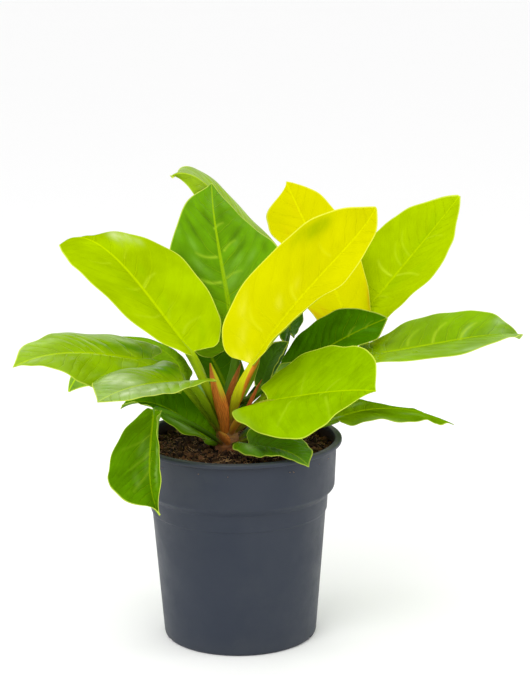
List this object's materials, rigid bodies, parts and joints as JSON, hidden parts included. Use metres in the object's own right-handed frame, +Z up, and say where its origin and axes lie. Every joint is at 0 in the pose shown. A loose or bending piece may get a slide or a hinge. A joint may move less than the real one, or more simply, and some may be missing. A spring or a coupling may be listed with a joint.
{
  "type": "potted philodendron",
  "caption": "Leafy houseplant with broad lobed yellow, lime and green leaves on thick stalks, in a round tapered nursery pot with a collar and lip.",
  "frame": {"origin": "under the pot's axis, on the plane of its base", "axes": "+Z up along the pot's axis, +X to the viewer's right, +Y away from the side the picture shows"},
  "size_m": [0.5778, 0.4605, 0.5266],
  "materials": {
    "pot_plastic": "satin anthracite",
    "soil": "moist peat with pale fibres",
    "stem": "fibrous",
    "leaf_yellow": "glossy yellow",
    "leaf_lime": "glossy lime",
    "leaf_fresh": "glossy fresh green with a pale sheen",
    "leaf_green": "glossy mid green",
    "leaf_dark": "glossy dark green",
    "sheath": "papery orange brown"
  },
  "bodies": {
    "root": {"pot": "pot_plastic", "soil": "soil", "stem": "stem", "leaf_01": "leaf_lime", "leaf_02": "leaf_green", "leaf_03": "leaf_fresh", "leaf_04": "leaf_yellow", "leaf_05": "leaf_yellow", "leaf_06": "leaf_lime", "leaf_07": "leaf_dark", "leaf_08": "leaf_green", "leaf_09": "leaf_lime", "leaf_10": "leaf_green", "leaf_11": "leaf_dark", "leaf_12": "leaf_green", "leaf_13": "leaf_fresh", "leaf_14": "leaf_fresh", "leaf_15": "leaf_green", "leaf_16": "leaf_dark", "leaf_17": "leaf_dark", "leaf_18": "leaf_dark", "leaf_19": "leaf_dark", "leaf_20": "leaf_green", "leaf_21": "leaf_green", "sheath_1": "sheath", "sheath_2": "sheath", "sheath_3": "sheath", "sheath_4": "sheath"}
  },
  "joints": []
}
